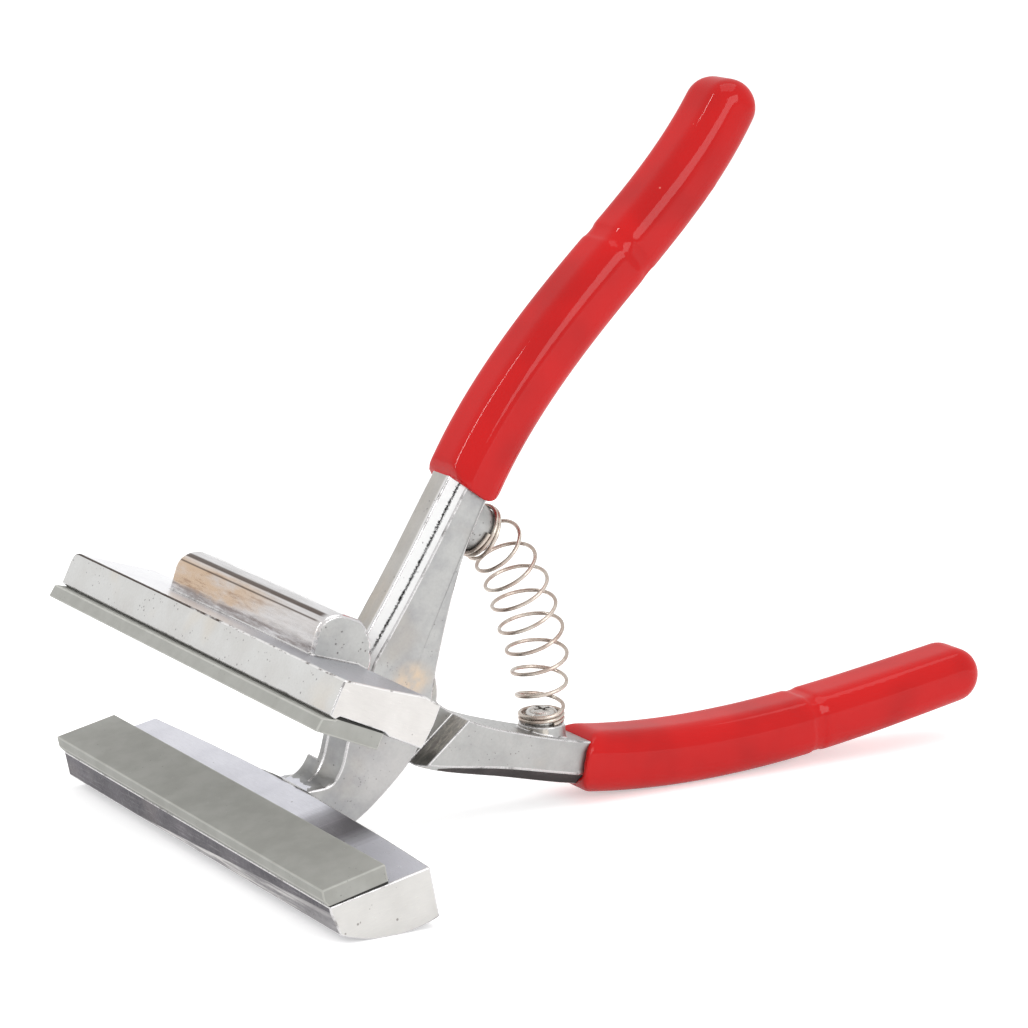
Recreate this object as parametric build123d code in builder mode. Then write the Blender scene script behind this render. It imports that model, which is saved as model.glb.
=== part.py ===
"""Wide-jaw canvas pliers: two cast levers in a half-lap joint, padded jaws, a bowed return spring.

X runs along the jaws and the pivot, -Y is the mouth, +Y the handles, +Z up.  The origin lies in the
middle of the narrow land on which the lower jaw rocks, so Z = 0 is the surface the tool lies on.
Each lever is one casting: lower jaw with upper handle, and upper jaw with lower handle.
"""
from build123d import *
from math import cos, radians, sin, tan
import os

os.makedirs("parts", exist_ok=True)

# ---------------------------------------------------------------- driving dimensions, millimetres
jaw_width = 120.0           # both jaws along X
jaw_reach = 50.2            # pivot to the metal front of the jaws
jaw_depth = 24.9            # lower jaw, front to rear at the middle
rear_bow = 2.0              # the lower jaw is shallower by this at its ends
lower_jaw_front = 5.8       # height of the lower jaw's front face
lower_jaw_belly = 11.2      # height of the lower jaw at its rocker
top_fall = 0.5              # the lower jaw's top falls by this from front to rear
upper_jaw_depth = 22.9
upper_jaw_height = 7.3      # at its front face
upper_slope = 22.7          # degrees, upper jaw at rest
lower_slope = 12.8          # degrees, lower jaw at rest
pivot_y = 33.35             # pivot behind the lower jaw's land
pivot_z = 28.33             # pivot above the surface

pad_gap = 0.3               # between the pads when the jaws are closed
pad_face = 5.0              # closing plane to the jaws' centre line
lower_pad_thickness = 3.9
upper_pad_thickness = 3.7
pad_depth = 14.4
pad_lip = 1.9               # upper pad in front of the metal
lower_lip = 0.9

hump_near = 33.0            # hammer rib along X
hump_far = 30.5
hump_height = 9.6           # above the upper jaw's top
hump_near_round = 1.0
hump_far_round = 2.4
far_corner = 2.5            # rounded upper corner at the upper jaw's far end

lever_thickness = 12.6      # both levers along X
lap_gap = 0.2               # between the two cheeks of the lap joint
cheek_lean = 68.8           # degrees, upper handle's cheek at rest
cheek_inset = 0.5           # front face of that cheek inside the other lever's boss radius
stop_gap = 0.25             # cheek to the neck that stops it when the jaws are open
boss_radius = 13.0          # round far cheek of the other lever
shoulder_gap = 1.3          # round cheek to the hollow shoulders beside it
near_wall = 14.83           # pivot to the straight near shoulder of the lower handle
near_wall_slope = 40.2      # degrees
arm_shoulder = 17.2         # pivot to the straight shoulder of the arm's far half
arm_shoulder_slope = -30.5  # degrees
far_foot_bevel = 4.2        # the arm's far front edge is set back by this at its foot
front_bevel_depth = 2.8     # near front edge of the upper handle
front_bevel_width = 3.9
far_bevel_depth = 1.9
far_bevel_width = 2.4
keel_bevel_depth = 3.2      # lower edges of the lower handle
keel_bevel_width = 4.2
pin_diameter = 7.0
pin_clearance = 0.05        # running fit, radial

core_depth = 10.6           # metal core inside the sleeves
core_end = 0.80             # share of the sleeve's length that holds the core
grip_width = 15.4           # sleeve along X
grip_depth = 13.9           # sleeve in the plane of the levers
grip_taper = 1.2            # narrower by this towards the tip
grip_round = 4.9
upper_rim_slant = 1.25      # the upper sleeve's rim leans by this at its edges
band_width = 3.4            # shallow band pressed into each sleeve
band_depth = 0.3
upper_band = 0.575          # place of the band along the sleeve
lower_band = 0.57

wire_diameter = 0.9
spring_end_diameter = 10.4  # outer, over the closed end turns
spring_middle_diameter = 14.6
spring_turns = 11
closed_turns = 2            # at each end
seat_top = 10.2             # cast seats under the spring
seat_draft = 6.0            # degrees
upper_seat_height = 7.0
lower_seat_height = 4.5
screw_head = 7.4
screw_head_height = 3.0
screw_shank = 3.6
screw_depth = 5.0

# ---------------------------------------------------------------- shared planes, points and curves
half = lever_thickness / 2
lap = lap_gap / 2
end_x = jaw_width / 2
core_half = core_depth / 2
closing = upper_slope + lower_slope
shoulder_radius = boss_radius + shoulder_gap
cheek_front = boss_radius - cheek_inset
jaw_top = pad_face + pad_gap + lower_pad_thickness
jaw_rear = jaw_reach - jaw_depth
pivot = Vector(0, pivot_y, pivot_z)
side = Plane.YZ


def tilted_side(slope):
    """Side plane at the pivot, its x axis backwards along a jaw and its y axis away from the floor."""
    return Plane(origin=pivot, x_dir=(0, cos(radians(slope)), sin(radians(slope))), z_dir=(1, 0, 0))


upper_side = tilted_side(-upper_slope)
lower_side = tilted_side(lower_slope)
lower_plan = Plane(origin=pivot, x_dir=(1, 0, 0),
                   z_dir=(0, -sin(radians(lower_slope)), cos(radians(lower_slope))))
cheek_side = tilted_side(cheek_lean)


def on_side(plane, x, y):
    """Point (y, z) in the world of a point given in one of the side planes."""
    point = plane.from_local_coords((x, y, 0))
    return (point.Y, point.Z)


def beside(path, place, shift):
    """Point (y, z) beside a centre line: place 0 to 1 along it, shift to its left."""
    point = path.position_at(place)
    run = path.tangent_at(place)
    return (point.X - shift * run.Y, point.Y + shift * run.X)


upper_rim = (50.95, 72.6)
upper_line = Spline(upper_rim, (61.9, 90.5), (78.9, 110.0), (98.3, 129.6), (109.9, 142.5), (118.0, 157.0))
lower_rim = (80.0, 9.3)
lower_line = Spline(lower_rim, (103.7, 7.15), (133.5, 8.0), (164.5, 11.8), (192.2, 16.2))

upper_seat = Plane(origin=(0, 56.4, 62.7), x_dir=(1, 0, 0), z_dir=(0, cos(radians(33)), -sin(radians(33))))
lower_seat = Plane(origin=(0, 72.9, 18.5), x_dir=(1, 0, 0), z_dir=(0, 0, 1))

# ---------------------------------------------------------------- handles, before they join their jaws


def upper_profile(bevel, foot_bevel):
    """Outline of the upper handle and the lower jaw's arm, its front edge set back by the bevel."""
    core_front = beside(upper_line, core_end, core_half - bevel)
    core_rear = beside(upper_line, core_end, -core_half)
    cheek_top = on_side(cheek_side, 8.0, cheek_front - bevel)
    cheek_foot = on_side(cheek_side, -9.0, cheek_front - bevel)
    arm_top = on_side(lower_side, -jaw_rear - 1.4, -jaw_top - top_fall)
    arm_bottom = on_side(lower_side, -jaw_rear - 2.3, -jaw_top - lower_jaw_belly)
    cheek_rear = (41.2, 30.0)
    with BuildLine() as outline:
        Spline(core_front, beside(upper_line, 0.4, core_half - bevel), on_side(cheek_side, 48.7, 5.0 - bevel),
               on_side(cheek_side, 33.4, 7.5 - bevel), on_side(cheek_side, 15.7, 10.8 - bevel), cheek_top)
        Line(cheek_top, cheek_foot)
        Spline(cheek_foot, on_side(cheek_side, -14.8, 11.8 - foot_bevel),
               on_side(cheek_side, -19.2, 12.7 - foot_bevel),
               arm_top, tangents=[(-0.36, -0.93), (-1, -0.2)])
        Line(arm_top, arm_bottom)
        Spline(arm_bottom, (22.4, 4.6), (30.0, 10.3), (36.6, 17.0), cheek_rear)
        Spline(cheek_rear, (44.5, 46.0), (49.4, 62.0), (54.0, 71.2), beside(upper_line, 0.4, -core_half),
               core_rear, tangents=[(0.13, 0.99), upper_line.tangent_at(core_end)])
        Line(core_rear, core_front)
    return outline.line


def lower_profile(bevel, foot_bevel):
    """Outline of the lower handle, its underside raised by the bevel."""
    core_top = beside(lower_line, core_end, core_half)
    core_foot = beside(lower_line, core_end, bevel - core_half)
    boss_top = (pivot_y + boss_radius * 0.80, pivot_z + 1.0)
    boss_foot = (pivot_y + 1.5, pivot_z - boss_radius * 0.94)
    with BuildLine() as outline:
        Spline(boss_top, (47.4, 25.4), (53.0, 22.2), (61.4, 19.3), (80.3, 14.5),
               beside(lower_line, 0.4, core_half), core_top)
        Line(core_top, core_foot)
        Spline(core_foot, beside(lower_line, 0.4, bevel - core_half), (81.0, 3.6 + bevel),
               (58.4, 8.7 + 0.9 * bevel), (43.0, 12.4 + 0.5 * bevel), boss_foot)
        Line(boss_foot, boss_top)
    return outline.line


def section(profile, x, bevel, foot_bevel):
    """Face of a handle at one place along X."""
    with BuildSketch(side.offset(x)) as face:
        with BuildLine():
            add(profile(bevel, foot_bevel))
        make_face()
    return face.sketch.face()


def blank(profile, near_depth, near_width, far_depth, far_width, foot_depth):
    """The four faces of a handle between which its flat middle and its two bevelled sides are lofted."""
    return [section(profile, -half, far_depth, foot_depth), section(profile, far_width - half, 0, 0),
            section(profile, half - near_width, 0, 0), section(profile, half, near_depth, near_depth)]


with BuildPart() as upper_handle:
    loft(blank(upper_profile, front_bevel_depth, front_bevel_width, far_bevel_depth, far_bevel_width,
               far_foot_bevel), ruled=True)
    # the far half ends in a round shoulder above the pivot and in a straight one below it
    with BuildSketch(side.offset(-half)):
        with Locations((pivot_y, pivot_z)):
            Circle(shoulder_radius)
    extrude(amount=half + lap, mode=Mode.SUBTRACT)
    with BuildSketch(tilted_side(arm_shoulder_slope).offset(-half)):
        with Locations((0, -arm_shoulder)):
            Rectangle(2 * boss_radius, arm_shoulder, align=(Align.CENTER, Align.MIN))
    extrude(amount=half + lap, mode=Mode.SUBTRACT)

# ---------------------------------------------------------------- lower jaw lever
with BuildPart() as lower_jaw_lever:
    with BuildSketch(lower_side.offset(-end_x)):
        with BuildLine():
            front_top = (-jaw_reach, -jaw_top)
            front_foot = (-jaw_reach, -jaw_top - lower_jaw_front)
            rear_foot = (-jaw_rear, -jaw_top - lower_jaw_belly + 0.3)
            rear_top = (-jaw_rear, -jaw_top - top_fall)
            belly = (-jaw_reach + jaw_depth * 0.46, -jaw_top - lower_jaw_belly)
            Line(front_top, front_foot)
            ThreePointArc(front_foot, belly, rear_foot)
            Line(rear_foot, rear_top)
            Line(rear_top, front_top)
        make_face()
    extrude(amount=jaw_width)
    with BuildSketch(lower_plan):
        with BuildLine():
            left = (-end_x, -jaw_rear - rear_bow)
            right = (end_x, -jaw_rear - rear_bow)
            ThreePointArc(left, (0, -jaw_rear), right)
            Line(right, (end_x + 5, -jaw_rear + 5))
            Line((end_x + 5, -jaw_rear + 5), (-end_x - 5, -jaw_rear + 5))
            Line((-end_x - 5, -jaw_rear + 5), left)
        make_face()
    extrude(amount=-40, mode=Mode.SUBTRACT)
    split(bisect_by=Plane.XY, keep=Keep.TOP)
    add(upper_handle.part)
    with BuildSketch(upper_seat):
        Circle(seat_top / 2)
    extrude(amount=-upper_seat_height, taper=-seat_draft)
    with BuildSketch(upper_seat):
        Circle(screw_shank / 2)
    extrude(amount=-screw_depth, mode=Mode.SUBTRACT)
    with BuildSketch(side.offset(-half)):
        with Locations((pivot_y, pivot_z)):
            Circle(pin_diameter / 2 + pin_clearance)
    extrude(amount=lever_thickness, mode=Mode.SUBTRACT)
lower_jaw_lever.part.label = "lower_jaw_lever"
export_step(lower_jaw_lever.part, "parts/lower_jaw_lever.step")

# ---------------------------------------------------------------- lower handle, before it joins its jaw
with BuildPart() as lower_handle:
    loft(blank(lower_profile, keel_bevel_depth, keel_bevel_width, keel_bevel_depth, keel_bevel_width,
               keel_bevel_depth), ruled=True)
    wall_lean = radians(near_wall_slope)
    wall = Plane(origin=(-lap, pivot_y + near_wall * sin(wall_lean), pivot_z - near_wall * cos(wall_lean)),
                 x_dir=(0, cos(wall_lean), sin(wall_lean)), z_dir=(1, 0, 0))
    with BuildSketch(wall):
        Rectangle(8 * boss_radius, 4 * boss_radius, align=(Align.CENTER, Align.MIN))
    extrude(amount=half + 2 * lap, mode=Mode.SUBTRACT)

# ---------------------------------------------------------------- upper jaw lever
upper_rear = jaw_reach - upper_jaw_depth
under = -pad_face + upper_pad_thickness
front_height = under + upper_jaw_height


def on_top(spot):
    """True on the upper face of the upper jaw."""
    return upper_side.to_local_coords(spot).Y > front_height - 0.1


with BuildPart() as hammer_rib:
    hump_top = front_height + 0.7 + hump_height
    with BuildSketch(upper_side.offset(-hump_far)):
        with BuildLine():
            Spline((-42.3, 6.0), (-42.6, 9.7), (-42.5, 13.1), (-40.1, hump_top - 0.6), (-37.4, hump_top))
            Line((-37.4, hump_top), (-33.8, hump_top))
            Spline((-33.8, hump_top), (-31.3, hump_top - 1.7), (-29.5, 12.2), (-27.8, 7.2), (-27.8, 6.0))
            Line((-27.8, 6.0), (-42.3, 6.0))
        make_face()
    extrude(amount=hump_near + hump_far)
    for x, rounding in ((-hump_far, hump_far_round), (hump_near, hump_near_round)):
        rim_edges = hammer_rib.edges().filter_by_position(Axis.X, x - 0.01, x + 0.01)
        fillet(rim_edges.filter_by(lambda edge: upper_side.to_local_coords(edge.center()).Y > 6.5), rounding)

with BuildPart() as upper_jaw_lever:
    with BuildSketch(upper_side.offset(-end_x)):
        with BuildLine():
            Polyline((-jaw_reach - 0.3, under - 0.1), (-jaw_reach, front_height),
                     (-jaw_reach + 9, front_height + 0.7), (-upper_rear - 4, front_height + 1.7),
                     (-upper_rear, front_height + 1.0), (-upper_rear, front_height - 3),
                     (-upper_rear - 0.7, under - 0.9), (-upper_rear - 8.9, under - 0.6),
                     (-upper_rear - 10.2, under), (-jaw_reach + 1.9, under + 0.3),
                     (-jaw_reach + 1.1, under - 0.5), close=True)
        make_face()
    extrude(amount=jaw_width)
    far_edges = upper_jaw_lever.edges().filter_by_position(Axis.X, -end_x - 0.01, -end_x + 0.01)
    fillet(far_edges.filter_by(lambda edge: on_top(edge.center())), far_corner)
    add(hammer_rib.part)
    neck_front = cheek_front + stop_gap
    neck_corner = on_side(cheek_side, neck_front * tan(radians(closing / 2)), neck_front)
    neck_top = on_side(cheek_side, 9.4, neck_front)
    with BuildSketch(side.offset(-half)):
        with BuildLine():
            Polyline(on_side(upper_side, -upper_rear - 2, 5.5),
                     on_side(upper_side, -upper_rear + 0.5, front_height + 0.9), neck_top, neck_corner,
                     (19.9, 34.75), on_side(upper_side, -upper_rear - 1, -2.0), close=True)
        make_face()
    extrude(amount=lever_thickness)
    with BuildSketch(side.offset(-half)):
        with Locations((pivot_y, pivot_z)):
            Circle(boss_radius)
    extrude(amount=half - lap)
    with BuildSketch(side.offset(-half)):
        with BuildLine():
            Polyline((pivot_y, pivot_z), on_side(cheek_side, 24, 8), on_side(cheek_side, 12, 24),
                     on_side(cheek_side, -9, 30), close=True)
        make_face()
        with Locations((pivot_y, pivot_z)):
            Circle(shoulder_radius - stop_gap, mode=Mode.INTERSECT)
    extrude(amount=half - lap)
    add(lower_handle.part)
    with BuildSketch(lower_seat):
        Circle(seat_top / 2)
    extrude(amount=-lower_seat_height, taper=-seat_draft)
    with BuildSketch(lower_seat):
        Circle(screw_shank / 2)
    extrude(amount=-screw_depth, mode=Mode.SUBTRACT)
    with BuildSketch(side.offset(-half)):
        with Locations((pivot_y, pivot_z)):
            Circle(pin_diameter / 2)
    extrude(amount=lever_thickness, mode=Mode.SUBTRACT)
upper_jaw_lever.part.label = "upper_jaw_lever"
export_step(upper_jaw_lever.part, "parts/upper_jaw_lever.step")

# ---------------------------------------------------------------- pads
with BuildPart() as upper_jaw_pad:
    pad_front = -jaw_reach - pad_lip
    with BuildSketch(upper_side.offset(-end_x)):
        with BuildLine():
            Polyline((pad_front - 0.3, -pad_face), (pad_front + 0.2, under - 0.9),
                     (-jaw_reach + 1.1, under - 0.5), (-jaw_reach + 1.9, under + 0.3),
                     (-upper_rear - 10.2, under), (pad_front + pad_depth, -pad_face), close=True)
        make_face()
    extrude(amount=jaw_width)
upper_jaw_pad.part.label = "upper_jaw_pad"
export_step(upper_jaw_pad.part, "parts/upper_jaw_pad.step")

with BuildPart() as lower_jaw_pad:
    lower_face = -pad_face - pad_gap
    lower_pad_front = -jaw_reach - lower_lip
    lower_pad_rear = lower_pad_front + pad_depth
    with BuildSketch(lower_side.offset(-end_x)):
        with BuildLine():
            Polyline((lower_pad_front, lower_face), (lower_pad_front, lower_face - 2.4),
                     (-jaw_reach, -jaw_top),
                     (lower_pad_rear, -jaw_top - top_fall * (lower_pad_rear + jaw_reach) / jaw_depth),
                     (lower_pad_rear, lower_face), close=True)
        make_face()
    extrude(amount=jaw_width)
lower_jaw_pad.part.label = "lower_jaw_pad"
export_step(lower_jaw_pad.part, "parts/lower_jaw_pad.step")

# ---------------------------------------------------------------- pivot pin
with BuildPart() as pivot_pin:
    with BuildSketch(side.offset(-half)):
        with Locations((pivot_y, pivot_z)):
            Circle(pin_diameter / 2)
    extrude(amount=lever_thickness)
pivot_pin.part.label = "pivot_pin"
export_step(pivot_pin.part, "parts/pivot_pin.step")

# ---------------------------------------------------------------- grips


def sleeve_blank(line, shrink, slant):
    """Rounded sleeve about a centre line, smaller all round by shrink, its rim leaning by slant."""
    with BuildPart() as sleeve:
        with BuildSketch(side):
            with BuildLine():
                places = (0, 0.25, 0.5, 0.75, 0.95)
                reach = grip_depth / 2 - shrink
                over = [beside(line, place, reach - grip_taper / 2 * place ** 3) for place in places]
                below = [beside(line, place, grip_taper / 2 * place ** 3 - reach) for place in places]
                run = line.tangent_at(0)
                over[0] = (over[0][0] + run.X * slant, over[0][1] + run.Y * slant)
                below[0] = (below[0][0] - run.X * slant, below[0][1] - run.Y * slant)
                tip = line.position_at(1) - line.tangent_at(1) * shrink
                Spline(*over)
                ThreePointArc(over[-1], (tip.X, tip.Y), below[-1])
                Spline(*reversed(below))
                rim = Line(below[0], over[0])
            make_face()
        extrude(amount=grip_width / 2 - shrink, both=True)
        rim_middle = Vector(0, rim.center().X, rim.center().Y)
        rounded = [edge for edge in sleeve.edges() if abs(edge.center().X) > 1
                   and (Vector(0, edge.center().Y, edge.center().Z) - rim_middle).length > 2]
        fillet(rounded, grip_round - shrink)
    return sleeve.part


def grip(name, line, slant, band_place, core):
    """Dipped sleeve with a shallow band round it, hollow where the core lies."""
    band_middle = line.position_at(band_place)
    run = line.tangent_at(band_place)
    band = Plane(origin=(0, band_middle.X, band_middle.Y), z_dir=(0, run.X, run.Y))
    with BuildPart() as ring:
        with BuildSketch(band.offset(-band_width / 2)):
            Rectangle(2 * grip_width, 2 * grip_width)
        extrude(amount=band_width)
        add(sleeve_blank(line, band_depth, slant), mode=Mode.SUBTRACT)
    with BuildPart() as sleeve:
        add(sleeve_blank(line, 0, slant))
        add(ring.part, mode=Mode.SUBTRACT)
        add(core, mode=Mode.SUBTRACT)
    sleeve.part.label = name
    export_step(sleeve.part, f"parts/{name}.step")


grip("upper_grip", upper_line, upper_rim_slant, upper_band, upper_handle.part)
grip("lower_grip", lower_line, 0, lower_band, lower_handle.part)

# ---------------------------------------------------------------- screws in the spring's seats


def seat_screw(name, seat):
    """Round-headed screw with a cross recess, its head inside the spring's end turns."""
    with BuildPart() as screw:
        with BuildSketch(seat):
            Circle(screw_head / 2)
        extrude(amount=screw_head_height)
        fillet(screw.faces().filter_by(Axis(seat.origin, seat.z_dir)).sort_by(
            Axis(seat.origin, seat.z_dir))[-1].edges(), screw_head_height * 0.55)
        with BuildSketch(seat.offset(screw_head_height)):
            Rectangle(screw_head * 0.55, screw_head * 0.13)
            Rectangle(screw_head * 0.13, screw_head * 0.55)
        extrude(amount=-screw_head_height * 0.4, mode=Mode.SUBTRACT)
        with BuildSketch(seat):
            Circle(screw_shank / 2)
        extrude(amount=-screw_depth)
    screw.part.label = name
    export_step(screw.part, f"parts/{name}.step")


seat_screw("upper_spring_screw", upper_seat)
seat_screw("lower_spring_screw", lower_seat)

# ---------------------------------------------------------------- return spring
# The bowed centre line runs from seat to seat; the wire winds round it in closed turns at both ends.
with BuildPart() as return_spring:
    wire_rise = wire_diameter / 2 + 0.05
    start = lower_seat.origin + lower_seat.z_dir * wire_rise
    finish = upper_seat.origin + upper_seat.z_dir * wire_rise
    bow = Spline((start.Y, start.Z), (71.6, 33.5), (68.6, 43.0), (63.5, 52.8), (finish.Y, finish.Z),
                 tangents=[(0, 1), (-upper_seat.z_dir.Y, -upper_seat.z_dir.Z)])
    steps_per_turn = 8
    points = []
    closed_share = closed_turns * wire_diameter * 1.04 / bow.length
    for step in range(spring_turns * steps_per_turn + 1):
        turn = step / steps_per_turn
        if turn < closed_turns:
            place = closed_share * turn / closed_turns
        elif turn > spring_turns - closed_turns:
            place = 1 - closed_share * (spring_turns - turn) / closed_turns
        else:
            open_share = (turn - closed_turns) / (spring_turns - 2 * closed_turns)
            place = closed_share + (1 - 2 * closed_share) * open_share
        bulge = sin(radians(180 * min(1, max(0, (place - closed_share) / (1 - 2 * closed_share)))))
        outer = spring_end_diameter + (spring_middle_diameter - spring_end_diameter) * bulge
        radius = (outer - wire_diameter) / 2
        middle = bow.position_at(place)
        run = bow.tangent_at(place)
        swing = radians(360 * turn)
        points.append((radius * cos(swing), middle.X + run.Y * radius * sin(swing),
                       middle.Y - run.X * radius * sin(swing)))
    with BuildLine():
        coil = Spline(*points)
    with BuildSketch(Plane(origin=coil @ 0, z_dir=coil % 0)):
        Circle(wire_diameter / 2)
    sweep()
return_spring.part.label = "return_spring"
export_step(return_spring.part, "parts/return_spring.step")
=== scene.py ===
"""Canvas pliers: finishes for the castings, and new sleeves, spring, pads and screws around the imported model."""
from math import cos, pi, radians, sin

import bpy
from bpy.props import FloatProperty, FloatVectorProperty, IntProperty, PointerProperty
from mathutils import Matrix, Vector


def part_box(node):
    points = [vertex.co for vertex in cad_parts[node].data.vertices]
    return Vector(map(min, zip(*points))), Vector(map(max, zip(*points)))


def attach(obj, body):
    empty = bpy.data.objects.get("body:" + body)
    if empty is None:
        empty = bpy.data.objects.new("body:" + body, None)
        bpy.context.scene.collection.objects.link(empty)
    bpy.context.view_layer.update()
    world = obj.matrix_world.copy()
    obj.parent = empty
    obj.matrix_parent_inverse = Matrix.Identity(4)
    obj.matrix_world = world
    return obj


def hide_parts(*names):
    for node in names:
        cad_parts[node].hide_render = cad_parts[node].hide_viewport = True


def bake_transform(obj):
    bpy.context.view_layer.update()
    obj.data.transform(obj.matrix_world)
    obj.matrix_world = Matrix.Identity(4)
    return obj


bl_info = {
    "name": "Canvas pliers",
    "version": (1, 0, 0),
    "blender": (4, 5, 0),
    "location": "View3D > Sidebar > Pliers",
    "description": "Dresses a packed model of wide-jaw canvas pliers",
    "category": "Object",
}

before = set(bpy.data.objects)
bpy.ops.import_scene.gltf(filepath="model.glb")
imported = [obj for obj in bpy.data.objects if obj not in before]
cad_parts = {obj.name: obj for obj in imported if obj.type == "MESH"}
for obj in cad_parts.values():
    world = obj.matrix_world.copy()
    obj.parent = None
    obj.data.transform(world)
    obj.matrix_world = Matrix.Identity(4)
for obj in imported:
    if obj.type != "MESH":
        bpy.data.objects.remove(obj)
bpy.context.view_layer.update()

MM = 0.001
PIVOT = Vector((0, 33.35, 28.33)) * MM
UPPER_TILT = radians(-22.7)     # upper jaw at rest
LOWER_TILT = radians(12.8)      # lower jaw at rest
CHEEK_LEAN = radians(68.8)      # upper handle at the pivot
JAW_END = 60 * MM
ARM_FOOT = 28 * MM              # the front of the arm is clear of the lower jaw above this
UPPER_BODY = "upper_jaw_side"
LOWER_BODY = "lower_jaw_side"

# meshes
MERGE_DISTANCE = 0.002 * MM
FLAT_ANGLE = radians(0.2)
SHARP_ANGLE = radians(24)
SHORTEST_EDGE = 0.12 * MM       # slivers along the small fillets are too short to take a bevel
EDGE_SEGMENTS = 2
PAD_EDGE = 0.3 * MM
FASTENER_EDGE = 0.12 * MM
CORE_SHRINK = 0.40 * MM         # room between a handle's core and its sleeve
RIM_DEPTH = 1.5 * MM            # how far inside its rim a sleeve is filled

# places on the jaws, in millimetres in a jaw's own axes: see in_jaw
UPPER_JAW_BACK = -26
LOWER_JAW_BACK = -24
RIB_BACK = -27
RIB_HALF = 34                   # half the rib's length
RIB_FOOT = 6.1                  # foot of the rib
RIB_SIDE = 8.6                  # above the jaw's top wherever it slopes
UPPER_PAD_SEAT = -1.3           # where each pad lies on its jaw
LOWER_PAD_SEAT = -9.2
FACET_POINT = Vector((-25, -50.2, -15.0))
FACET_OUT = Vector((0.0111, -0.9777, -0.21)).normalized()

# the spring: points (y, z) of its axis in the levers' plane, in millimetres, from the lower seat to the upper one
SPRING_LINE = ((72.9, 19.0), (71.6, 33.5), (68.6, 43.0), (64.2, 53.4), (58.8, 61.0), (54.9, 63.7))
CLOSED_TURNS = 2                # at each end
CLOSED_PITCH = 1.04             # wire diameters from one closed turn to the next
STEPS_PER_TURN = 24

# the stage
CAMERA_PLACE = (0.618933, -0.328102, 0.230144)
CAMERA_TURN = (radians(77.363), radians(-1.122), radians(57.850))
CAMERA_LENS = 122.57
LAMP_AIM = Vector((0, 60, 60)) * MM
LAMPS = (                       # name, place, sides in metres, watts
    ("key", (-0.30, -0.95, 0.75), (0.07, 0.9), 3.2),
    ("top", (0.10, 0.25, 1.2), (0.9, 0.9), 3.0),
    ("side", (1.1, 0.35, 0.55), (0.8, 0.6), 4.2),
)
SURROUND_LIGHT = 0.78           # what the surround sheds; where it is seen it is 1, plain white
FLOOR_GLOW = 0.45               # keeps the floor white where it is seen, under its soft shadow

# tones of both castings
WORN_EDGE = (0.60, 0.59, 0.59)
GRAIN_TONE = (0.30, 0.29, 0.30)
PIT_TONE = (0.12, 0.11, 0.11)


# ---------------------------------------------------------------- settings

class SleeveSettings(bpy.types.PropertyGroup):
    grid: FloatProperty(name="Grid", description="Mesh size of the dipped surface", default=0.45 * MM,
                        unit="LENGTH", subtype="DISTANCE")
    softness: IntProperty(name="Softness", description="How far the dip rounds edges and rims", default=8)
    colour: FloatVectorProperty(name="Vinyl", description="Colour of the dipped vinyl", subtype="COLOR",
                                default=(0.57, 0.005, 0.005), min=0, max=1)


class SpringSettings(bpy.types.PropertyGroup):
    wire: FloatProperty(name="Wire", description="Diameter of the spring's wire", default=0.9 * MM,
                        unit="LENGTH", subtype="DISTANCE")
    turns: IntProperty(name="Turns", description="Turns of the coil, both closed ends included", default=12)
    end_diameter: FloatProperty(name="End diameter", description="Outer diameter of the closed end turns",
                                default=10.4 * MM, unit="LENGTH", subtype="DISTANCE")
    top_diameter: FloatProperty(name="Top diameter", description="Outer diameter of the turns round the upper seat",
                                default=12.6 * MM, unit="LENGTH", subtype="DISTANCE")
    middle_diameter: FloatProperty(name="Middle diameter", description="Outer diameter at the middle",
                                   default=14.6 * MM, unit="LENGTH", subtype="DISTANCE")


class MetalSettings(bpy.types.PropertyGroup):
    plate: FloatVectorProperty(name="Plated skin", description="Colour of the plated casting", subtype="COLOR",
                               default=(0.43, 0.43, 0.42), min=0, max=1)
    edge_width: FloatProperty(name="Edge", description="Width of the worn edges", default=0.36 * MM,
                              unit="LENGTH", subtype="DISTANCE")


# ---------------------------------------------------------------- selecting and shaping

def deselect_all():
    """Leaves edit mode and nothing selected."""
    if bpy.context.object and bpy.context.object.mode != "OBJECT":
        bpy.ops.object.mode_set(mode="OBJECT")
    bpy.ops.object.select_all(action="DESELECT")


def make_active(piece):
    """Selects one piece alone."""
    deselect_all()
    piece.select_set(True)
    bpy.context.view_layer.objects.active = piece


def edit_all(piece):
    """Opens a piece in edit mode with everything selected."""
    make_active(piece)
    bpy.ops.object.mode_set(mode="EDIT")
    bpy.ops.mesh.select_mode(type="VERT")
    bpy.ops.mesh.select_all(action="SELECT")


def apply_modifier(piece, kind, **settings):
    """Adds a modifier with these settings and applies it."""
    make_active(piece)
    modifier = piece.modifiers.new(kind.lower(), kind)
    for name, value in settings.items():
        setattr(modifier, name, value)
    bpy.ops.object.modifier_apply(modifier=modifier.name)


def smooth(piece, crease):
    """Smooth shading, with creases sharper than this angle in degrees kept."""
    make_active(piece)
    bpy.ops.object.shade_smooth_by_angle(angle=radians(crease))


def dressed_copy(node, name):
    """A merged copy of a CAD node's mesh with its flat faces whole again."""
    piece = bpy.data.objects.new(name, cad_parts[node].data.copy())
    bpy.context.scene.collection.objects.link(piece)
    piece.data.materials.clear()
    edit_all(piece)
    bpy.ops.mesh.remove_doubles(threshold=MERGE_DISTANCE)
    bpy.ops.mesh.dissolve_limited(angle_limit=FLAT_ANGLE)
    deselect_all()
    return piece


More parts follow.
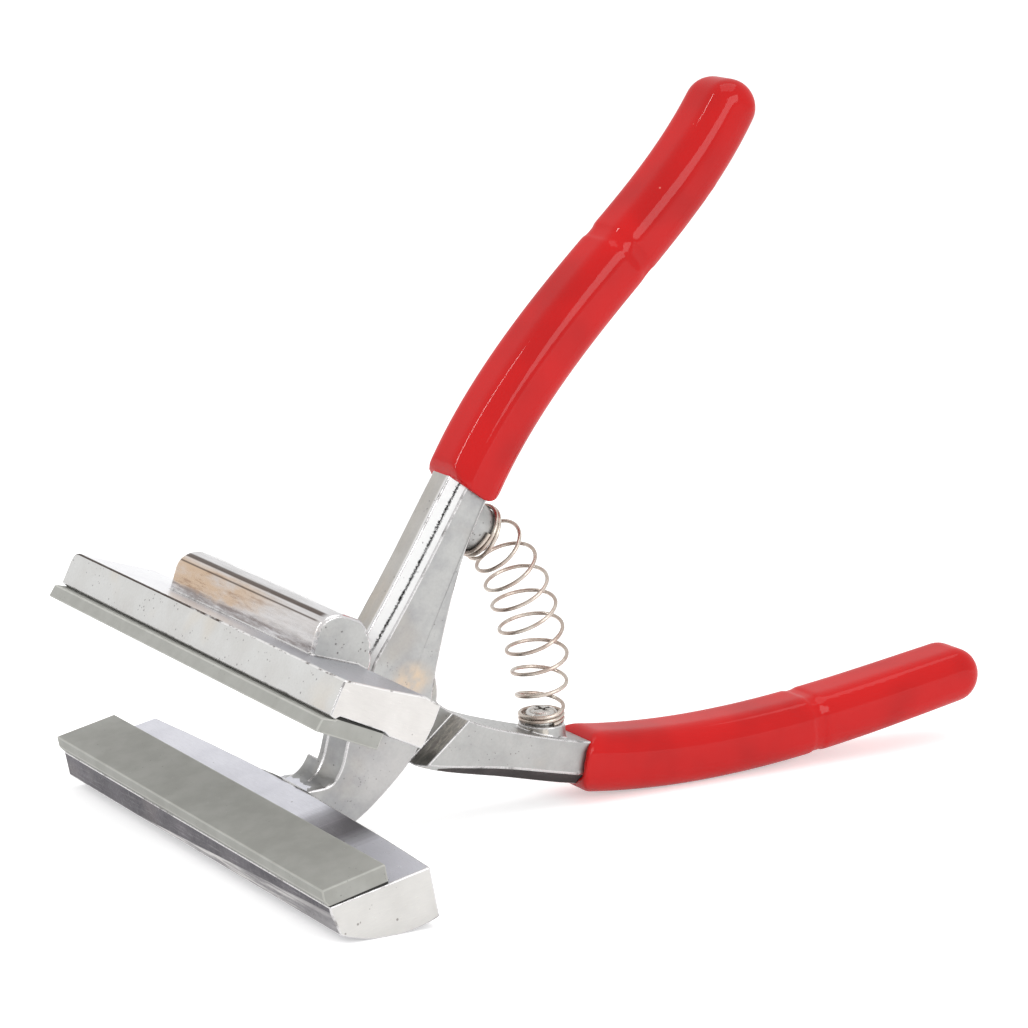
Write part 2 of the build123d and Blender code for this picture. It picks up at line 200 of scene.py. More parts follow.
def round_edges(piece, width):
    """Rounds the sharp edges into faces of the second slot, and keeps the flat faces flat."""
    piece.data.materials.append(None)
    piece.data.materials.append(None)
    edit_all(piece)
    bpy.ops.mesh.select_mode(type="EDGE")
    bpy.ops.mesh.select_all(action="DESELECT")
    bpy.ops.mesh.edges_select_sharp(sharpness=SHARP_ANGLE)
    deselect_all()
    weights = piece.data.attributes.new("bevel_weight_edge", "FLOAT", "EDGE")
    points = piece.data.vertices
    for edge in piece.data.edges:
        length = (points[edge.vertices[0]].co - points[edge.vertices[1]].co).length
        weights.data[edge.index].value = 1.0 if edge.select and length > SHORTEST_EDGE else 0.0
    apply_modifier(piece, "BEVEL", width=width, segments=EDGE_SEGMENTS, limit_method="WEIGHT", material=1,
                   loop_slide=False, use_clamp_overlap=False)
    smooth(piece, crease=40)
    apply_modifier(piece, "WEIGHTED_NORMAL", keep_sharp=True)


def fill_sleeve(piece, lever, mouth):
    """Joins the core of a lever's handle to its sleeve, so that the sleeve has no thin places; the mouth is the way
    that the sleeve's rim faces."""
    ends = [face for face in piece.data.polygons if face.normal.dot(mouth) > 0.9]
    rim = max(ends, key=lambda face: face.center.dot(mouth))
    outwards = rim.normal.copy()
    inside = rim.center - outwards * RIM_DEPTH
    core = dressed_copy(lever, "core")
    edit_all(core)
    bpy.ops.mesh.bisect(plane_co=inside, plane_no=outwards, clear_outer=True, use_fill=True)
    deselect_all()
    core.select_set(True)
    piece.select_set(True)
    bpy.context.view_layer.objects.active = piece
    bpy.ops.object.join()


def shrink_core(piece, covered):
    """Draws the handle's core in a little where its sleeve covers it, so that it can't show through."""
    for vertex in [vertex for vertex in piece.data.vertices if covered(vertex.co)]:
        vertex.co -= vertex.normal * CORE_SHRINK


def finish_piece(piece, body, slot, node):
    """Gives a piece its body and hides the CAD node that it stands for; the slot is not used."""
    deselect_all()
    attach(piece, body)
    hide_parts(node)


def in_jaw(point, tilt):
    """A point in a jaw's own axes: along it, backwards from the pivot, and up from it, in millimetres."""
    y, z = (point.y - PIVOT.y) / MM, (point.z - PIVOT.z) / MM
    return Vector((point.x / MM, y * cos(tilt) + z * sin(tilt), z * cos(tilt) - y * sin(tilt)))


def from_jaw(point, tilt):
    """The place in metres of a point given in millimetres in a jaw's own axes."""
    y, z = point.y * cos(tilt) - point.z * sin(tilt), point.z * cos(tilt) + point.y * sin(tilt)
    return PIVOT + Vector((point.x, y, z)) * MM


def turned(normal, tilt):
    """A normal in a jaw's own axes."""
    return Vector((normal.x, normal.y * cos(tilt) + normal.z * sin(tilt),
                   normal.z * cos(tilt) - normal.y * sin(tilt)))


def give_materials(piece, materials, choose):
    """Fills the piece's slots; the test picks one for each face from its middle, its normal and whether it
    is a rounded edge."""
    slots = [choose(face.center, face.normal, face.material_index == 1) for face in piece.data.polygons]
    piece.data.materials.clear()
    for material in materials:
        piece.data.materials.append(material)
    for face, slot in zip(piece.data.polygons, slots):
        face.material_index = slot


# ---------------------------------------------------------------- building materials

class Wiring:
    """A node tree being wired: each method adds nodes and returns the socket that they give."""

    def __init__(self, tree):
        self.tree = tree
        self.tree.nodes.clear()

    def put(self, socket, value):
        """Links a socket, or sets it to a plain value or a colour."""
        if isinstance(value, bpy.types.NodeSocket):
            self.tree.links.new(value, socket)
        elif hasattr(value, "__len__") and socket.type == "RGBA" and len(value) == 3:
            socket.default_value = (*value, 1)
        else:
            socket.default_value = value

    def node(self, kind, inputs=None, **settings):
        """Adds a node, with its inputs by name or number and its other settings."""
        made = self.tree.nodes.new("ShaderNode" + kind)
        for name, value in settings.items():
            setattr(made, name, value)
        for key, value in (inputs or {}).items():
            self.put(made.inputs[key], value)
        return made

    def math(self, operation, a, b=0.0, clamp=False):
        """Two values put together by one operation."""
        return self.node("Math", {0: a, 1: b}, operation=operation, use_clamp=clamp).outputs[0]

    def mix(self, factor, a, b):
        """From colour a to colour b as the factor rises."""
        return self.node("Mix", {0: factor, 6: a, 7: b}, data_type="RGBA").outputs[2]

    def blend(self, factor, a, b):
        """From value a to value b as the factor rises."""
        return self.node("Mix", {0: factor, 2: a, 3: b}, data_type="FLOAT").outputs[0]

    def ramp(self, value, low, high, to_low=0.0, to_high=1.0):
        """A value's range between low and high, eased into another range."""
        return self.node("MapRange", {0: value, 1: low, 2: high, 3: to_low, 4: to_high},
                         interpolation_type="SMOOTHSTEP").outputs[0]

    def place(self, tilt=0.0, centre=(0, 0, 0), stretch=(1, 1, 1)):
        """Object coordinates in millimetres about a centre, in axes turned by a tilt about the pivot's axis."""
        coordinates = self.node("TexCoord").outputs["Object"]
        scale = tuple(MM * s for s in stretch)
        return self.node("Mapping", {"Vector": coordinates, "Location": centre, "Rotation": (tilt, 0, 0),
                                     "Scale": scale}, vector_type="TEXTURE").outputs[0]

    def split(self, vector):
        """The three parts of a vector."""
        return self.node("SeparateXYZ", {0: vector}).outputs

    def noise(self, vector, scale, detail=3.0, roughness=0.55):
        """Fractal noise around 0.5."""
        return self.node("TexNoise", {"Vector": vector, "Scale": scale, "Detail": detail,
                                      "Roughness": roughness}).outputs["Fac"]

    def bump(self, height, distance, strength):
        """A normal bent by a height."""
        return self.node("Bump", {"Height": height, "Distance": distance, "Strength": strength}).outputs[0]

    def seen(self):
        """1 for what the camera sees, straight or by way of a mirror or a clear body."""
        rays = self.node("LightPath").outputs
        seen = self.math("MAXIMUM", rays["Is Camera Ray"], rays["Is Glossy Ray"])
        return self.math("MAXIMUM", seen, rays["Is Transmission Ray"])

    def group(self, name, **inputs):
        """Places a shared group; its outputs are returned by name."""
        made = self.node("Group", node_tree=bpy.data.node_groups[name])
        for key, value in inputs.items():
            self.put(made.inputs[key], value)
        return made.outputs


class Finish(Wiring):
    """A new material with its shader, ready to be wired."""

    def __init__(self, name):
        self.material = bpy.data.materials.new(name)
        self.material.use_nodes = True
        super().__init__(self.material.node_tree)
        self.shader = self.node("BsdfPrincipled")
        self.node("OutputMaterial", {0: self.shader.outputs[0]})

    def shade(self, **values):
        """Sets or links sockets of the shader, with underscores in their names for spaces."""
        for name, value in values.items():
            self.put(self.shader.inputs[name.replace("_", " ")], value)


def open_group(name, inputs, outputs):
    """Starts a shared node group with these named sockets."""
    made = Wiring(bpy.data.node_groups.new(name, "ShaderNodeTree"))
    kinds = {"vector": "NodeSocketVector", "float": "NodeSocketFloat"}
    for socket, kind in inputs.items():
        made.tree.interface.new_socket(name=socket, in_out="INPUT", socket_type=kinds[kind])
    for socket in outputs:
        made.tree.interface.new_socket(name=socket, in_out="OUTPUT", socket_type="NodeSocketFloat")
    given = made.tree.nodes.new("NodeGroupInput").outputs
    wanted = made.tree.nodes.new("NodeGroupOutput").inputs
    return made, given, wanted


def build_groups():
    """The effects that several finishes share."""
    # 1 between two values, with soft ends
    made, given, wanted = open_group("between", dict(Value="float", Low="float", High="float", Soft="float"),
                                     ["Mask"])
    low = made.math("SUBTRACT", given["Value"], given["Low"])
    high = made.math("SUBTRACT", given["High"], given["Value"])
    rise = made.math("DIVIDE", low, given["Soft"])
    fall = made.math("DIVIDE", high, given["Soft"])
    rise = made.math("ADD", rise, 0.5, clamp=True)
    fall = made.math("ADD", fall, 0.5, clamp=True)
    made.put(wanted["Mask"], made.math("MULTIPLY", rise, fall))

    # scattered round pits of different sizes, in clusters; Share is how many cells have one
    made, given, wanted = open_group("pits", dict(Vector="vector", Scale="float", Share="float", Size="float"),
                                     ["Mask"])
    cells = made.node("TexVoronoi", {"Vector": given["Vector"], "Scale": given["Scale"]}).outputs
    chance = made.split(cells["Color"])[0]
    cluster = made.ramp(made.noise(given["Vector"], 0.16, 2.0), 0.42, 0.66)
    share = made.math("ADD", made.math("MULTIPLY", given["Share"], cluster), 0.004)
    radius = made.math("SUBTRACT", chance, made.math("SUBTRACT", 1.0, share))
    radius = made.math("DIVIDE", radius, share)
    radius = made.math("MULTIPLY", radius, given["Size"])
    inside = made.math("SUBTRACT", radius, cells["Distance"])
    made.put(wanted["Mask"], made.math("MULTIPLY", inside, 9.0, clamp=True))

    # the skin of a plated casting: soft patches, fine grain and a height for bump
    made, given, wanted = open_group("cast_skin", dict(Vector="vector", Grain="float"),
                                     ["Patch", "Grain", "Height"])
    patch = made.noise(given["Vector"], 0.11, 4.0, 0.6)
    grain = made.noise(given["Vector"], given["Grain"], 5.0, 0.7)
    made.put(wanted["Patch"], made.ramp(patch, 0.35, 0.68))
    made.put(wanted["Grain"], made.ramp(grain, 0.30, 0.72))
    made.put(wanted["Height"], made.math("ADD", grain, made.math("MULTIPLY", patch, 1.5)))

    # fine lines of grinding or drawing, long along the first axis of the vector
    made, given, wanted = open_group("grinding", dict(Vector="vector", Fineness="float"), ["Line"])
    lines = made.noise(given["Vector"], given["Fineness"], 4.0, 0.75)
    made.put(wanted["Line"], made.ramp(lines, 0.25, 0.75))


def casting_finish(name, tilt, light, dark, warm, rough=(0.30, 0.50), pits=0.30, shade=0.10, marks=None,
                   metallic=0.9):
    """Plated casting: patches between two tones, a warm bloom, pits and grain, and marks of its own."""
    made = Finish(name)
    place = made.place(tilt, PIVOT)
    skin = made.group("cast_skin", Vector=place, Grain=1.6)
    pit = made.group("pits", Vector=place, Scale=1.7, Share=pits, Size=0.42)["Mask"]
    bloom = made.ramp(made.noise(place, 0.07, 2.0), 0.54, 0.74)
    tone = made.mix(skin["Patch"], light, dark)
    tone = made.mix(made.math("MULTIPLY", bloom, 0.5), tone, warm)
    tone = made.mix(made.math("MULTIPLY", skin["Grain"], shade), tone, GRAIN_TONE)
    if marks:
        tone = marks(made, tone)
    tone = made.mix(made.math("MULTIPLY", pit, 0.7), tone, PIT_TONE)
    made.shade(Base_Color=tone, Metallic=metallic, Specular_IOR_Level=0.2)
    made.shade(Roughness=made.blend(skin["Grain"], *rough))
    height = made.math("SUBTRACT", skin["Height"], made.math("MULTIPLY", pit, 2.0))
    made.shade(Normal=made.bump(height, 0.04 * MM, 0.7))
    return made.material


def spot(made, centre, reach):
    """1 at a centre, given in object millimetres, fading to 0 at a reach along each axis."""
    away = made.node("VectorMath", {0: made.place(0, tuple(c * MM for c in centre), reach)},
                     operation="LENGTH").outputs["Value"]
    return made.ramp(away, 0.15, 1.0, 1.0, 0.0)


def arm_marks(made, tone):
    """A tan bloom above the upper jaw, a bluish painted shade under it, and paler metal along the front edge."""
    drift = made.ramp(made.noise(made.place(), 0.35, 3.0), 0.30, 0.66, 0.25, 1.0)
    tan = made.math("MULTIPLY", spot(made, (6.3, 36.0, 34.2), (6, 6.4, 5.0)), drift)
    # bluish-grey patch on the arm under the jaw: painted shade
    painted_shade = made.math("MULTIPLY", spot(made, (6.3, 32.5, 31.5), (6, 9.0, 4.6)), 0.55)
    low = made.math("MULTIPLY", spot(made, (6.3, 30.0, 14.0), (6, 12.0, 12.0)), 0.25)
    tone = made.mix(low, tone, (0.56, 0.53, 0.53))
    tone = made.mix(painted_shade, tone, (0.33, 0.34, 0.38))
    return made.mix(tan, tone, (0.58, 0.46, 0.34))


def front_marks(made, tone):
    """Facets of the handle's front with painted reflections: a painted white highlight on the bevel, a painted grey
    band, a broken black line that paints the shade in the parting-line groove, a beige middle and a pitted far crease.
    """
    x, y, z = made.split(made.place())
    ragged = made.noise(made.place(0, (0, 0, 0), (1, 0.5, 0.5)), 1.4, 4.0, 0.75)
    shifted = made.math("ADD", x, made.ramp(ragged, 0.2, 0.8, -0.35, 0.35))
    # near-white band along the near bevel: painted highlight
    white = made.group("between", Value=x, Low=1.6, High=7.0, Soft=0.9)["Mask"]
    tone = made.mix(made.math("MULTIPLY", white, 0.9), tone, (0.86, 0.86, 0.86))
    shade = made.group("between", Value=shifted, Low=-0.8, High=0.9, Soft=1.2)["Mask"]
    tone = made.mix(made.math("MULTIPLY", shade, 0.35), tone, (0.44, 0.43, 0.42))
    crease = made.group("between", Value=shifted, Low=-5.0, High=-3.6, Soft=0.8)["Mask"]
    crease = made.math("MULTIPLY", crease, made.ramp(ragged, 0.40, 0.62))
    tone = made.mix(made.math("MULTIPLY", crease, 0.8), tone, (0.16, 0.15, 0.15))
    # broken black line in the parting line's groove: painted shade in the groove
    line = made.group("between", Value=shifted, Low=4.50, High=4.95, Soft=0.16)["Mask"]
    length = made.group("between", Value=z, Low=41.0, High=80.0, Soft=4.0)["Mask"]
    line = made.math("MULTIPLY", made.math("MULTIPLY", line, length), made.ramp(ragged, 0.36, 0.46))
    return made.mix(line, tone, (0.015, 0.014, 0.014))


def lower_front_marks(made, tone):
    """Scratches on the lower jaw's front, over its painted dark reflection."""
    lines = made.noise(made.place(LOWER_TILT, PIVOT, (12, 1.6, 0.5)), 1.2, 5.0, 0.8)
    tone = made.mix(made.ramp(lines, 0.52, 0.74, 0.0, 0.5), tone, (0.36, 0.34, 0.36))
    cross = made.noise(made.place(LOWER_TILT, PIVOT, (0.8, 6, 6)), 1.0, 4.0, 0.8)
    return made.mix(made.ramp(cross, 0.60, 0.72, 0.0, 0.35), tone, (0.55, 0.53, 0.54))


def facet_marks(made, tone):
    """Bright wiping streaks on the ground facet under the lower jaw's front."""
    streak = made.noise(made.place(LOWER_TILT, PIVOT, (16, 1, 1)), 0.9, 4.0, 0.7)
    x = made.split(made.place())[0]
    fade = made.ramp(x, 30.0, 58.0, 1.0, 0.25)
    return made.mix(made.math("MULTIPLY", made.ramp(streak, 0.40, 0.62), fade), tone, (0.66, 0.64, 0.63))


def strip_painted_reflection(made, tone):
    """The arm's painted reflection on the strip behind the lower pad: it darkens in soft bands beside the arm and pales
    again to its near end.
    """
    x = made.split(made.place())[0]
    banding = made.noise(made.place(0, (0, 0, 0), (1, 40, 40)), 0.45, 3.0, 0.6)
    edge = made.math("ADD", x, made.ramp(banding, 0.3, 0.7, -0.8, 0.8))
    # soft dark bands beside the arm, with a paler band inside them: painted reflection of the arm
    dark = made.group("between", Value=edge, Low=19.0, High=36.0, Soft=9.0)["Mask"]
    tone = made.mix(dark, tone, (0.17, 0.16, 0.175))
    pale = made.group("between", Value=edge, Low=23.0, High=25.5, Soft=3.0)["Mask"]
    tone = made.mix(made.math("MULTIPLY", pale, 0.4), tone, (0.42, 0.41, 0.44))
    near = made.ramp(x, 36.0, 46.0)
    return made.mix(made.math("MULTIPLY", near, 0.6), tone, (0.50, 0.50, 0.55))


def top_marks(made, tone):
    """The jaw's top, painted light, is blue-grey in front of the rib's near end and brighter to the far side."""
    x = made.split(made.place())[0]
    near = made.ramp(x, 4.0, 30.0)
    return made.mix(made.math("MULTIPLY", near, 0.85), tone, (0.36, 0.37, 0.41))


def neck_marks(made, tone):
    """Brown streaks down the wall beside the lap joint, and a painted black shadow in its foot."""
    streak = made.noise(made.place(CHEEK_LEAN, PIVOT, (1, 5, 1)), 1.1, 4.0, 0.75)
    tone = made.mix(made.ramp(streak, 0.45, 0.62, 0.0, 0.8), tone, (0.62, 0.58, 0.52))
    # near-black patch low in the wall beside the lap: painted shadow
    foot = made.math("MULTIPLY", spot(made, (4.0, 39.5, 16.5), (12, 5.0, 4.5)), 0.9)
    return made.mix(foot, tone, (0.05, 0.05, 0.045))


def chipped_finish():
    """The chipped brown-black arris along the upper jaw's front."""
    made = Finish("chipped_edge")
    x = made.split(made.place())[0]
    chips = made.noise(made.place(UPPER_TILT, PIVOT, (1.6, 1, 1)), 0.34, 5.0, 0.72)
    extent = made.ramp(x, -25.0, 20.0, 0.24, 0.50)
    dark = made.math("MULTIPLY", made.math("SUBTRACT", chips, extent), 9.0, clamp=True)
    made.shade(Base_Color=made.mix(dark, (0.74, 0.73, 0.72), (0.045, 0.028, 0.02)), Metallic=0.6)
    made.shade(Roughness=made.ramp(chips, 0.3, 0.7, 0.28, 0.6), Normal=made.bump(chips, 0.06 * MM, 0.8))
    return made.material


def ground_finish(name, tilt, stretch, light, dark, rough=0.26, pits=0.06, marks=None):
    """Ground or machined steel: fine lines along one axis over a bright surface."""
    made = Finish(name)
    place = made.place(tilt, PIVOT)
    lines = made.group("grinding", Vector=made.place(tilt, PIVOT, stretch), Fineness=3.0)["Line"]
    pit = made.group("pits", Vector=place, Scale=1.2, Share=pits, Size=0.40)["Mask"]
    cloud = made.ramp(made.noise(place, 0.09, 3.0), 0.35, 0.70)
    tone = made.mix(cloud, light, dark)
    tone = made.mix(made.math("MULTIPLY", lines, 0.16), tone, (0.42, 0.41, 0.42))
    if marks:
        tone = marks(made, tone)
    tone = made.mix(made.math("MULTIPLY", pit, 0.7), tone, (0.16, 0.14, 0.13))
    made.shade(Base_Color=tone, Metallic=0.9)
    made.shade(Roughness=made.blend(lines, rough, rough + 0.14))
    made.shade(Normal=made.bump(made.math("SUBTRACT", lines, pit), 0.012 * MM, 0.7))
    return made.material


def edge_finish(name, colour):
    """Edges worn bright, with darker nicks."""
    made = Finish(name)
    place = made.place()
    nick = made.ramp(made.noise(place, 0.16, 4.0, 0.65), 0.50, 0.66, 0.0, 0.75)
    made.shade(Base_Color=made.mix(nick, colour, (0.16, 0.15, 0.145)), Metallic=0.85)
    made.shade(Roughness=made.ramp(made.noise(place, 2.0), 0.3, 0.7, 0.18, 0.36))
    return made.material


def hump_finish():
    """The hammer rib: bright plating tarnished golden brown, with dark lines along its front."""
    made = Finish("rib_plate")
    place = made.place(UPPER_TILT, PIVOT)
    x, y, z = made.split(place)
    streak = made.noise(made.place(UPPER_TILT, PIVOT, (12, 1.2, 1.2)), 1.0, 5.0, 0.75)
    cloud = made.noise(made.place(UPPER_TILT, PIVOT, (3, 1, 1)), 0.25, 4.0, 0.6)
    wander = made.math("ADD", z, made.ramp(cloud, 0.3, 0.7, -0.5, 0.5))
    front = made.ramp(y, -36.0, -39.5)
    far = made.ramp(x, -6.0, 24.0, 1.0, 0.12)
    body = made.group("between", Value=wander, Low=8.2, High=14.4, Soft=1.6)["Mask"]
    gold = made.math("MULTIPLY", made.math("MULTIPLY", body, far), made.ramp(cloud, 0.25, 0.60, 0.20, 0.85))
    gold = made.math("MULTIPLY", gold, front)
    tone = made.mix(made.ramp(streak, 0.35, 0.70), (0.70, 0.69, 0.70), (0.56, 0.55, 0.55))
    tone = made.mix(gold, tone, (0.60, 0.42, 0.27))
    burn = made.math("MULTIPLY", gold, made.ramp(streak, 0.52, 0.66, 0.0, 0.7))
    tone = made.mix(burn, tone, (0.26, 0.14, 0.08))
    shadow = made.group("between", Value=wander, Low=6.0, High=8.4, Soft=1.0)["Mask"]
    shadow = made.math("MULTIPLY", made.math("MULTIPLY", shadow, made.ramp(streak, 0.30, 0.62)), front)
    tone = made.mix(made.math("MULTIPLY", shadow, 0.75), tone, (0.20, 0.16, 0.15))
    for height, width, share in ((14.85, 0.40, 0.95), (13.35, 0.16, 0.85)):
        line = made.group("between", Value=z, Low=height - width, High=height + width, Soft=0.22)["Mask"]
        ends = made.group("between", Value=x, Low=-29.5, High=31.0, Soft=2.0)["Mask"]
        line = made.math("MULTIPLY", made.math("MULTIPLY", line, ends), made.ramp(streak, 0.22, 0.40))
        tone = made.mix(made.math("MULTIPLY", made.math("MULTIPLY", line, share), front), tone,
                        (0.055, 0.028, 0.015))
    made.shade(Base_Color=tone, Metallic=0.95)
    made.shade(Roughness=made.ramp(streak, 0.3, 0.7, 0.14, 0.32))
    made.shade(Normal=made.bump(streak, 0.04 * MM, 0.6))
    return made.material


def pad_finish(name, tilt, seat, share):
    """Grey-green rubber with fine specks and a faint bloom, and a painted dark shadow line where it sits on its jaw."""
    made = Finish(name)
    place = made.place()
    speck = made.group("pits", Vector=place, Scale=1.5, Share=0.25, Size=0.30)["Mask"]
    light = made.group("pits", Vector=made.place(0, (0.01, 0.02, 0)), Scale=1.2, Share=0.10, Size=0.26)["Mask"]
    cloud = made.ramp(made.noise(place, 0.18, 4.0), 0.3, 0.7)
    tone = made.mix(cloud, tuple(share * part for part in (0.335, 0.335, 0.31)),
                    tuple(share * part for part in (0.385, 0.385, 0.36)))
    tone = made.mix(made.math("MULTIPLY", speck, 0.6), tone, (0.15, 0.16, 0.14))
    tone = made.mix(made.math("MULTIPLY", light, 0.5), tone, (0.50, 0.51, 0.48))
    x, y, z = made.split(made.place(tilt, PIVOT))
    # near-black line along the seat: painted shadow of the gap between pad and jaw
    width = made.ramp(x, 50.0, 60.0, 0.16, 0.34)
    gap_shadow = made.math("SUBTRACT", width, made.math("ABSOLUTE", made.math("SUBTRACT", z, seat)))
    tone = made.mix(made.math("MULTIPLY", gap_shadow, 12.0, clamp=True), tone, (0.012, 0.012, 0.010))
    made.shade(Base_Color=tone, Roughness=0.62, Specular_IOR_Level=0.35)
    grain = made.noise(place, 2.2, 4.0, 0.7)
    made.shade(Normal=made.bump(made.math("SUBTRACT", grain, speck), 0.05 * MM, 0.6))
    return made.material


def vinyl_finish(colour):
    """Glossy dipped vinyl: a faint ripple, darker thick places and a few specks."""
    made = Finish("dipped_vinyl")
    place = made.place()
    flow = made.noise(place, 0.05, 2.0)
    mottle = made.noise(place, 0.7, 3.0)
    speck = made.group("pits", Vector=place, Scale=0.5, Share=0.10, Size=0.16)["Mask"]
    dark = tuple(0.80 * part for part in colour)
    tone = made.mix(made.ramp(flow, 0.40, 0.75), tuple(colour), dark)
    tone = made.mix(made.math("MULTIPLY", speck, 0.6), tone, (0.85, 0.35, 0.28))
    made.shade(Base_Color=tone, Specular_IOR_Level=0.0, Coat_Weight=0.50, Coat_Roughness=0.05)
    made.shade(Roughness=made.ramp(mottle, 0.3, 0.7, 0.22, 0.30))
    ripple = made.math("ADD", flow, made.math("MULTIPLY", mottle, 0.03))
    made.shade(Normal=made.bump(ripple, 0.4 * MM, 0.25))
    return made.material


def wire_finish():
    """Nickelled spring wire, warm brown in places, with fine dark drawing lines."""
    made = Finish("spring_wire")
    place = made.place()
    tint = made.ramp(made.noise(place, 0.25, 3.0), 0.35, 0.65)
    draw = made.noise(place, 3.0, 4.0, 0.7)
    tone = made.mix(tint, (0.58, 0.52, 0.46), (0.44, 0.35, 0.30))
    tone = made.mix(made.ramp(draw, 0.50, 0.80, 0.0, 0.4), tone, (0.16, 0.12, 0.10))
    made.shade(Base_Color=tone, Metallic=0.95)
    made.shade(Roughness=made.ramp(draw, 0.3, 0.7, 0.16, 0.34))
    made.shade(Normal=made.bump(draw, 0.01 * MM, 0.5))
    return made.material


# ---------------------------------------------------------------- the stage

class PLIERS_OT_stage(bpy.types.Operator):
    """Camera, floor, lamps and a white surround"""
    bl_idname = "pliers.stage"
    bl_label = "Stage"

    def execute(self, context):
        deselect_all()
        bpy.ops.object.camera_add(location=CAMERA_PLACE, rotation=CAMERA_TURN)
        camera = context.object
        camera.name = "camera"
        camera.data.lens = CAMERA_LENS
        camera.data.sensor_width = 36
        camera.data.clip_start = 0.01
        context.scene.camera = camera

        bpy.ops.mesh.primitive_plane_add(size=6, location=(0, 0, 0))
        floor = context.object
        floor.name = "floor"
        made = Finish("pale_floor")
        fleck = made.ramp(made.noise(made.place(), 0.02, 2.0), 0.3, 0.7)
        made.shade(Base_Color=made.mix(fleck, (0.90, 0.90, 0.90), (0.92, 0.92, 0.92)), Roughness=0.9)
        made.shade(Emission_Color=(1, 1, 1), Emission_Strength=made.math("MULTIPLY", made.seen(), FLOOR_GLOW))
        made.shade(Specular_IOR_Level=0.0)
        floor.data.materials.append(made.material)

        for name, place, sides, watts in LAMPS:
            bpy.ops.object.light_add(type="AREA", location=place)
            lamp = context.object
            lamp.name = name
            lamp.data.shape = "RECTANGLE"
            lamp.data.size, lamp.data.size_y = sides
            lamp.data.energy = watts
            lamp.rotation_euler = (LAMP_AIM - Vector(place)).to_track_quat("-Z", "Y").to_euler()

        world = bpy.data.worlds.new("surround")
        context.scene.world = world
        world.use_nodes = True
        made = Wiring(world.node_tree)
        strength = made.blend(made.seen(), SURROUND_LIGHT, 1.0)
        background = made.node("Background", {"Color": (1, 1, 1), "Strength": strength})
        made.node("OutputWorld", {0: background.outputs[0]})
        context.scene.view_settings.view_transform = "Standard"
        return {"FINISHED"}


# ---------------------------------------------------------------- castings

class PLIERS_OT_upper_jaw(bpy.types.Operator):
    """Upper jaw, hammer rib, neck and lower handle"""
    bl_idname = "pliers.upper_jaw"
    bl_label = "Upper jaw lever"

    def execute(self, context):
        settings = context.scene.pliers_metal
        piece = dressed_copy("upper_jaw_lever", "upper_jaw_casting")
        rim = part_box("lower_grip")[0]
        shrink_core(piece, lambda place: place.y > rim[1] + 8 * MM)
        round_edges(piece, settings.edge_width)
        plate = tuple(settings.plate)
        materials = [
            casting_finish("jaw_casting", UPPER_TILT, plate, (0.36, 0.36, 0.355), (0.46, 0.43, 0.38)),
            edge_finish("jaw_edge", WORN_EDGE),
            ground_finish("jaw_ground", UPPER_TILT, (1, 8, 1), (0.66, 0.64, 0.62), (0.58, 0.56, 0.54)),
            hump_finish(),
            casting_finish("jaw_front", UPPER_TILT, (0.62, 0.62, 0.61), (0.58, 0.575, 0.56),
                           (0.62, 0.57, 0.50), rough=(0.40, 0.60), pits=0.36, shade=0.05),
            # the lever's downward faces behind the pivot get a near-black copy of the casting: painted shade
            casting_finish("underside_shade", 0, (0.045, 0.037, 0.036), (0.08, 0.066, 0.066), (0.11, 0.08, 0.07), rough=(0.7, 0.9),
                           pits=0.4, metallic=0.0),
            casting_finish("neck_wall", CHEEK_LEAN, (0.42, 0.40, 0.37), (0.26, 0.24, 0.22), (0.36, 0.29, 0.22),
                           marks=neck_marks),
            chipped_finish(),
            # the jaw's upward faces get a near-white copy of the ground steel: painted light from above
            ground_finish("jaw_top_painted_light", UPPER_TILT, (8, 1, 1), (0.90, 0.90, 0.92), (0.84, 0.84, 0.87),
                          marks=top_marks),
        ]

        casting, worn, ground, rib, front, underside_shade, wall, chipped, top = range(len(materials))

        def choose(centre, normal, edge):
            place, facing = in_jaw(centre, UPPER_TILT), turned(normal, UPPER_TILT)
            on_rib = place.z > RIB_FOOT and abs(place.x) < RIB_HALF and facing.z < 0.995
            if edge:
                arris = place.y < -49 and place.z > 4.5 and abs(facing.x) < 0.8
                corner = place.x > 59 and place.y < -20 and facing.z > 0.3
                return chipped if arris or corner else worn
            if abs(centre.x) > JAW_END - 0.5 * MM:
                return ground
            if place.y < RIB_BACK and (on_rib or place.z > RIB_SIDE):
                return casting if on_rib and facing.x > 0.9 else rib
            if place.y < UPPER_JAW_BACK:
                # upward faces take the near-white painted light
                if facing.z > 0.8:
                    return top
                return front if facing.y < -0.9 else casting
            # downward faces behind the pivot take the near-black painted shade
            if normal.z < -0.25 and centre.y > PIVOT.y + 12 * MM:
                return underside_shade
            if normal.y < -0.3 and centre.y > PIVOT.y:
                return wall
            return casting

        give_materials(piece, materials, choose)
        finish_piece(piece, UPPER_BODY, "cast_metal", "upper_jaw_lever")
        return {"FINISHED"}


